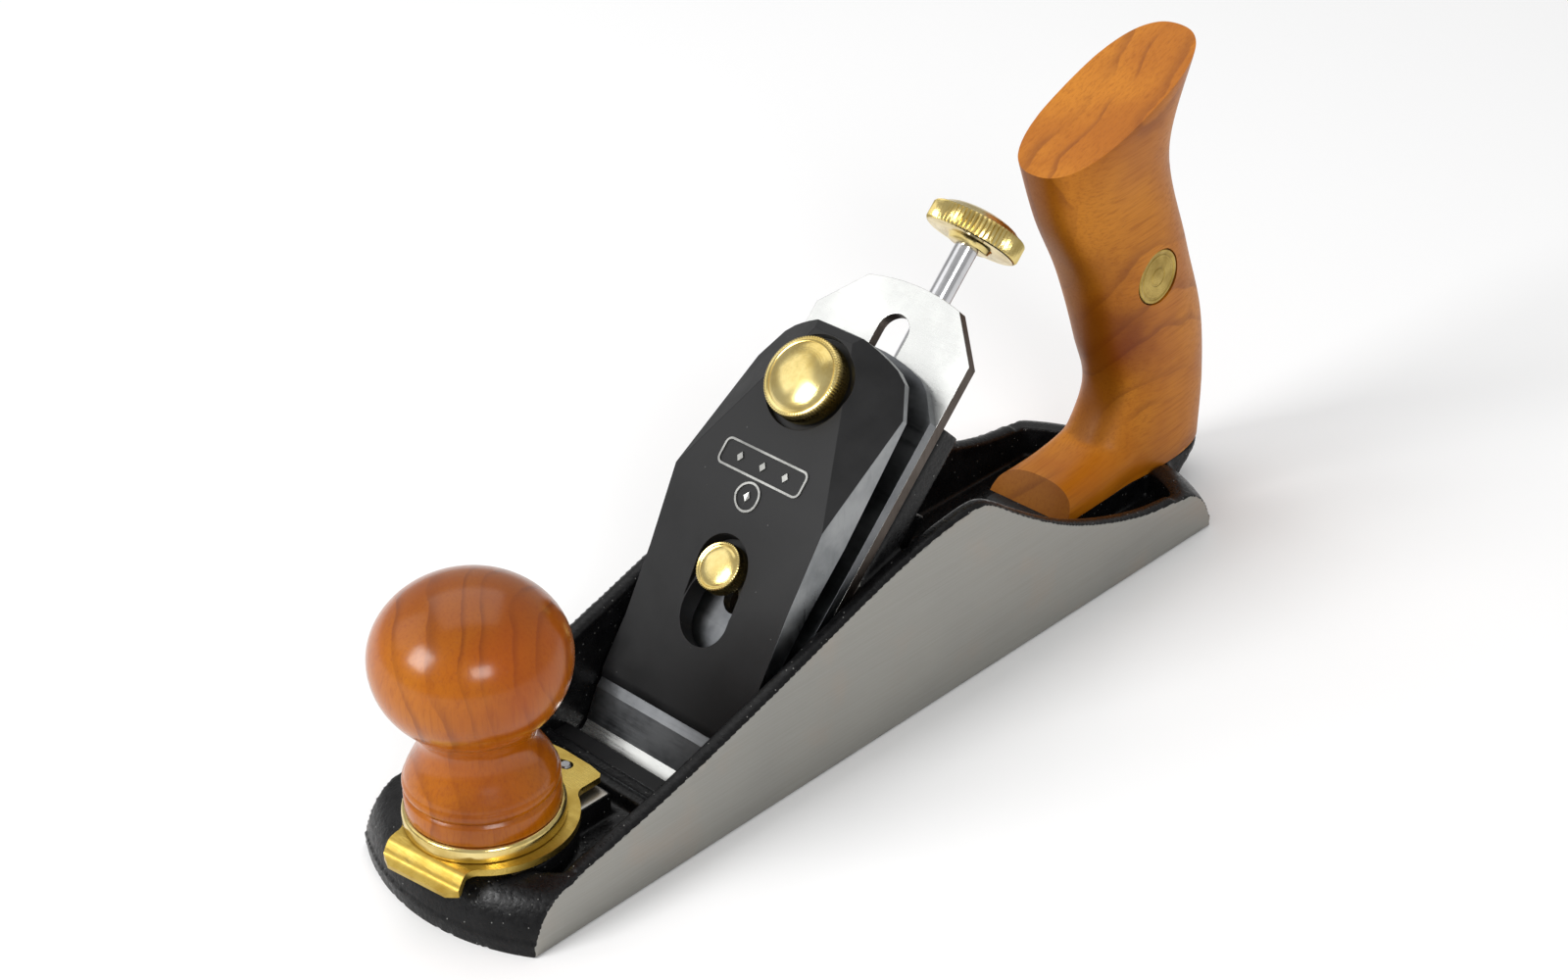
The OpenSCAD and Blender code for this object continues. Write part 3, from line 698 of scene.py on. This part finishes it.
BAR_S, RING_S, RING_R = 78.6, 70.6, 3.5
DIAMOND, LIFT, SUNK = 1.5, 0.4, 0.3


def cap_top(s):
    """Height of the cap's upper face, which bends at the top of its long slope."""
    return 18.9 + (s - 70.4) * (0.0204 if s > 70.4 else 0.248)


def raised_line(points, width=0.7):
    """A closed raised line through (s, y) points on the cap's face."""
    verts, n = [], len(points)
    for i, (s, y) in enumerate(points):
        (s0, y0), (s1, y1) = points[i - 1], points[(i + 1) % n]
        side = Vector((y1 - y0, s0 - s1)).normalized() * width / 2
        verts += [tuple(bed(s + k * side.x, y + k * side.y, cap_top(s + k * side.x) + h))
                  for k, h in ((-1, -SUNK), (-0.8, LIFT), (0.8, LIFT), (1, -SUNK))]
    faces = [(4 * i + k, 4 * i + (k + 1) % 4, 4 * ((i + 1) % n) + (k + 1) % 4, 4 * ((i + 1) % n) + k)
             for i in range(n) for k in range(4)]
    return verts, faces


def raised_diamond(s, y):
    rim = [(DIAMOND, 0), (0, DIAMOND * 0.75), (-DIAMOND, 0), (0, -DIAMOND * 0.75)]
    low = [tuple(bed(s + a, y + b, cap_top(s + a) - SUNK)) for a, b in rim]
    high = [tuple(bed(s + a * 0.85, y + b * 0.85, cap_top(s + a) + LIFT)) for a, b in rim]
    faces = [(0, 1, 2, 3), (4, 5, 6, 7)] + [(k, (k + 1) % 4, 4 + (k + 1) % 4, 4 + k) for k in range(4)]
    return low + high, faces


def build_badge():
    """A plain ornament: a rounded bar with three diamonds in it, over a small ring."""
    half_s, half_y, corner = 3.3, 13.4, 1.6
    bar = []
    for cs, cy, a0 in ((1, 1, 0), (-1, 1, 90), (-1, -1, 180), (1, -1, 270)):
        bar += arc(BAR_S + cs * (half_s - corner), cy * (half_y - corner), corner, a0, a0 + 90, 6)
    ring = [(RING_S + RING_R * math.cos(TAU * k / 40), RING_R * math.sin(TAU * k / 40)) for k in range(40)]
    parts = [raised_line(bar), raised_line(ring), raised_diamond(RING_S, 0)]
    parts += [raised_diamond(BAR_S, y) for y in (-7.5, 0, 7.5)]
    piece(joined("cap_badge", parts), "cap", "badge")


build_badge()

wheel = lathe("cap_wheel_knurled", [
    (0, 17.6), (9.9, 17.6), (10.35, 17.8, 0.6), (10.6, 18.25, 1), (10.6, 23.0, 1), (10.4, 23.4, 0.6),
    (9.95, 23.62), (9.45, 23.66), (9.15, 23.5), (8.95, 23.45), (8.7, 23.6), (8.0, 23.98), (7.0, 24.35),
    (5.8, 24.68), (4.4, 24.94), (3.0, 25.1), (1.5, 25.18), (0, 25.2)],
    out_of_bed(101.9), teeth=84, depth=0.4, sharp=28)
piece(wheel, "wheel", "brass", "cap_wheel")
SCREW_S = 52.8
screw = lathe("cap_screw_knurled", [
    (0, 12.05), (6.0, 12.05), (6.4, 12.3, 1), (6.4, 15.75, 1), (6.2, 16.2, 0.6), (5.9, 16.38), (5.5, 16.3),
    (5.3, 16.05), (5.05, 16.0), (4.6, 16.2), (3.6, 16.42), (2.2, 16.55), (1.0, 16.6), (0, 16.6)],
    out_of_bed(SCREW_S), teeth=60, depth=0.26, sharp=28)
piece(screw, "cap_screw", "brass")
shank = lathe("cap_screw_shank", [(0, -16.5), (3.0, -16.5), (3.4, -16.1), (3.4, 12.6), (0, 12.6)],
              out_of_bed(SCREW_S), segments=48)
piece(shank, "cap_screw", "brass_dull", "lever_cap_screw")

# ------------------------------------------------------------------ adjuster
ROD_AXIS = up_bed(-10.5)
rod = lathe("adjuster_rod_ground", [
    (0, 62.5), (2.5, 62.5), (3.1, 63.1), (3.1, 101.1), (3.1, 103.15), (4.4, 103.15), (4.6, 103.35),
    (4.6, 104.95), (4.4, 105.15), (3.1, 105.15), (3.1, 153.0), (0, 153.0)], ROD_AXIS, segments=64)
piece(rod, "rod", "stainless", "adjuster_rod")
adjuster = lathe("adjuster_knob_knurled", [
    (0, 152.5), (5.0, 152.5), (5.5, 152.7), (5.9, 153.6), (6.3, 154.0), (7.0, 154.12), (10.6, 154.0),
    (11.1, 154.12), (11.9, 154.05), (12.4, 154.3, 0.5), (12.8, 154.9, 1), (12.8, 158.9, 1),
    (12.45, 159.45, 0.5), (11.9, 159.7), (11.3, 159.75), (10.9, 159.95), (9.8, 160.75), (8.2, 161.4),
    (6.2, 161.9), (4.0, 162.2), (2.0, 162.3), (0, 162.32)], ROD_AXIS, teeth=64, depth=0.5, sharp=28)
piece(adjuster, "rod", "brass", "adjuster_knob")

# ------------------------------------------------------------------ tote
TOTE_Z = 12.3
TOTE_SUNK = 3.0  # extra length below the seat, taken off when the foot is cut flat
MEDAL_R, MEDAL_GAP = 7.7, 0.28
AT_MEDAL = (Matrix.Translation(Vector((-118.0, 12.6, 72.5)) * MM)
            @ Matrix.Rotation(-math.pi / 2, 4, "X"))
TOTE_REAR = [(-149, 12.3), (-149.6, 30), (-147, 52), (-138, 76), (-129.4, 107), (-138, 134.4)]
TOTE_FRONT = [(-95, 12.3), (-109.4, 34), (-105, 52), (-97.5, 74), (-86.8, 93.4), (-80.4, 111.2)]
TOTE_HALF = [(13.2,), (12,), (12.2,), (13,), (12,), (14,)]  # half width at each of those levels
FOOT = [(-128, 36, 11.6), (-120, 30, 12.2), (-108, 24.4, 12.6), (-98, 21.2, 13), (-90, 20.0, 13.3),
        (-83, 19.4, 13.5), (-76, 19.0, 13.5)]  # x, top and half width
TOP_REAR, TOP_FRONT = Vector((-138, 0, 134.4)), Vector((-80.4, 0, 111.2))


def signed_power(v, p):
    return math.copysign(abs(v) ** p, v)


def grip_rings(n=72, steps=14):
    """The grip's slices, with one more beyond each end for the flat cuts to take off."""
    rows = []
    lines = [catmull(line, steps) for line in (TOTE_REAR, TOTE_FRONT, TOTE_HALF)]
    for (bx, bz), (fx, fz), (w,) in zip(*lines):
        row = []
        for k in range(n):
            along, across = (signed_power(f(TAU * k / n), 0.8) for f in (math.cos, math.sin))
            row.append(((bx + fx) / 2 + (fx - bx) / 2 * along, w * across,
                        (bz + fz) / 2 + (fz - bz) / 2 * along))
        rows.append(row)
    beyond = [tuple(2.2 * q - 1.2 * p for p, q in zip(a, b)) for a, b in zip(rows[-3], rows[-1])]
    below = [(x, y, z - TOTE_SUNK) for x, y, z in rows[0]]
    return [below] + rows + [beyond]


def foot_rings():
    rows = []
    for x, top, w in catmull(FOOT, 6):
        turns = [math.pi * k / 32 for k in range(33)]
        rows.append([(x, w * signed_power(math.cos(a), 0.75),
                      TOTE_Z + (top - TOTE_Z) * signed_power(math.sin(a), 0.75)) for a in turns]
                    + [(x, -w, TOTE_Z - TOTE_SUNK), (x, w, TOTE_Z - TOTE_SUNK)])
    return rows


def build_tote():
    ob = joined("tote_shaped", [loft(grip_rings()), loft(foot_rings())])
    remeshed(ob, 0.75, 34)
    slope = (TOP_REAR - TOP_FRONT).normalized()
    cut_flat(ob, TOP_FRONT, (slope.z, 0, -slope.x))
    cut_flat(ob, (0, 0, TOTE_Z), (0, 0, -1))
    pocket_r = MEDAL_R + MEDAL_GAP
    pocket = lathe("pocket", [(0, -2.0), (pocket_r, -2.0), (pocket_r, 12.0), (0, 12.0)],
                   AT_MEDAL, segments=64)
    wedge = [(-81.2, TOTE_Z - 0.5), (-60, TOTE_Z - 0.5), (-60, 34), (-97.4, 34)]
    foot_cut = joined("foot_cut", [loft([[(x, y, z) for x, z in wedge] for y in (-20, 20)])])
    for tool in (pocket, foot_cut):
        modify(ob, "BOOLEAN", operation="DIFFERENCE", object=tool, solver="EXACT")
        apply_modifiers(ob)
        bpy.data.objects.remove(tool)
    thinned(ob, 0.45)
    shade(ob, 32)
    modify(ob, "WEIGHTED_NORMAL", weight=50, keep_sharp=True)
    apply_modifiers(ob)
    piece(ob, "body", "tote", "tote")


build_tote()
medal = lathe("medallion_disc", [
    (0, -1.75), (7.6, -1.75), (MEDAL_R, -1.6), (MEDAL_R, -0.42), (7.5, -0.2), (7.1, -0.12), (6.75, -0.2),
    (6.55, -0.34), (6.3, -0.34), (6.1, -0.22), (2.9, -0.2), (2.7, -0.34), (2.4, -0.34), (2.2, -0.2),
    (0, -0.16)], AT_MEDAL, segments=96, sharp=25)
piece(medal, "body", "brass_dull", "medallion")

# ------------------------------------------------------------------ floor, lights and camera
EYE = Vector((0.43218, 0.42390, 0.42558))
BACK = Vector((0.60105, 0.60500, 0.52223)).normalized()  # from the object to the camera
LEVEL = Vector((-0.70942, 0.70479, 0)).normalized()  # the camera's right before it is rolled
ROLL = math.radians(-1.443)
UP = BACK.cross(LEVEL)
CAM_X = math.cos(ROLL) * LEVEL + math.sin(ROLL) * UP
CAM_Y = -math.sin(ROLL) * LEVEL + math.cos(ROLL) * UP
SCENE = bpy.context.scene

camera_data = bpy.data.cameras.new("camera")
camera_data.sensor_width = 36.0
camera_data.lens = 66.374
camera_data.clip_start = 0.01
camera = bpy.data.objects.new("camera", camera_data)
SCENE.collection.objects.link(camera)
pose = Matrix((CAM_X, CAM_Y, BACK)).transposed().to_4x4()
pose.translation = EYE
camera.matrix_world = pose
SCENE.camera = camera


def build_floor(half=3200, n=8, z=-0.05):
    rows = [[(-half + 2 * half * i / n, -half + 2 * half * j / n, z) for i in range(n + 1)]
            for j in range(n + 1)]
    faces = [(j * (n + 1) + i, j * (n + 1) + i + 1, (j + 1) * (n + 1) + i + 1, (j + 1) * (n + 1) + i)
             for j in range(n) for i in range(n)]
    ob = make("floor", sum(rows, []), faces)
    g = Graph("pale_floor")
    ob.data.materials.append(g.set(Base_Color=rgb(246, 246, 246), Roughness=0.9, Specular_IOR_Level=0.1))


build_floor()
MIDDLE = Vector((0.0, 0.0, 0.05))  # the lights turn to this point


def softbox(name, right, up, back, distance, width, height, power):
    """An area light in the direction given in the camera's own axes, facing the object."""
    way = (right * CAM_X + up * CAM_Y + back * BACK).normalized()
    data = bpy.data.lights.new(name, "AREA")
    data.shape = "RECTANGLE"
    data.size = width
    data.size_y = height
    data.energy = power
    ob = bpy.data.objects.new(name, data)
    SCENE.collection.objects.link(ob)
    ob.location = MIDDLE + way * distance
    ob.rotation_euler = way.to_track_quat("Z", "Y").to_euler()


softbox("left_box", -0.738, 0.252, 0.62, 1.5, 0.55, 0.55, 13)
softbox("front_box", 0.219, 0.04, 0.976, 1.6, 0.55, 0.40, 7)
softbox("top_box", -0.1, 0.98, 0.1, 1.8, 1.6, 1.6, 9)
softbox("blade_box", -0.80, 0.60, 0.16, 1.5, 0.8, 0.8, 1.9)
world = bpy.data.worlds.new("studio")
world.use_nodes = True
background = world.node_tree.nodes["Background"].inputs
background["Color"].default_value = (1, 1, 1, 1)
background["Strength"].default_value = 0.5
SCENE.world = world
SCENE.view_settings.view_transform = "Standard"
